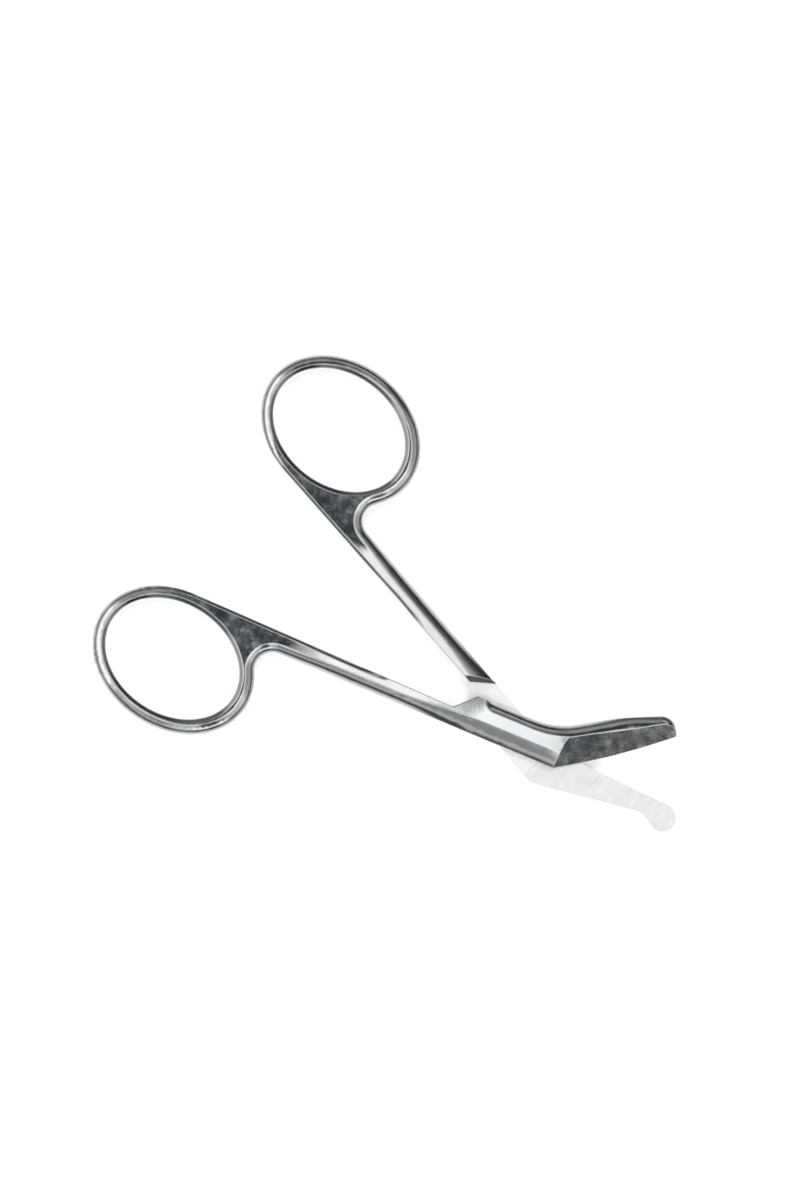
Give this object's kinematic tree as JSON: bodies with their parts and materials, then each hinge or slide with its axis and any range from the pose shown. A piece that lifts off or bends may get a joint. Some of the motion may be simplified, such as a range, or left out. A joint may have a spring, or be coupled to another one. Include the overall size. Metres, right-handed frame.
{
  "type": "ostomy scissors",
  "caption": "Small angled surgical scissors for stoma dressings: blunt upper blade, probe-tipped lower blade, oval finger rings and a slotted pivot screw.",
  "frame": {"origin": "on the pivot axis, at the level of the table that the tool lies on", "axes": "+Z along the pivot axis, away from the table and the screw's slot; +X from the pivot to the tips, midway between the two halves as stored; +Y to the side of the back half's finger ring"},
  "size_m": [0.1147, 0.0822, 0.0042],
  "materials": {
    "polished_steel": "polished stainless steel, finely ground on the blades' bevels and inner faces",
    "screw_steel": "turned and polished stainless steel"
  },
  "bodies": {
    "front": {"front_half": "polished_steel", "pivot_screw": "screw_steel"},
    "back": {"back_half": "polished_steel"}
  },
  "joints": [
    {"name": "pivot", "type": "hinge", "parent": "front", "child": "back", "pos_m": [0, 0, 0], "axis": [0, 0, 1], "range_deg": [-100, 25]}
  ]
}
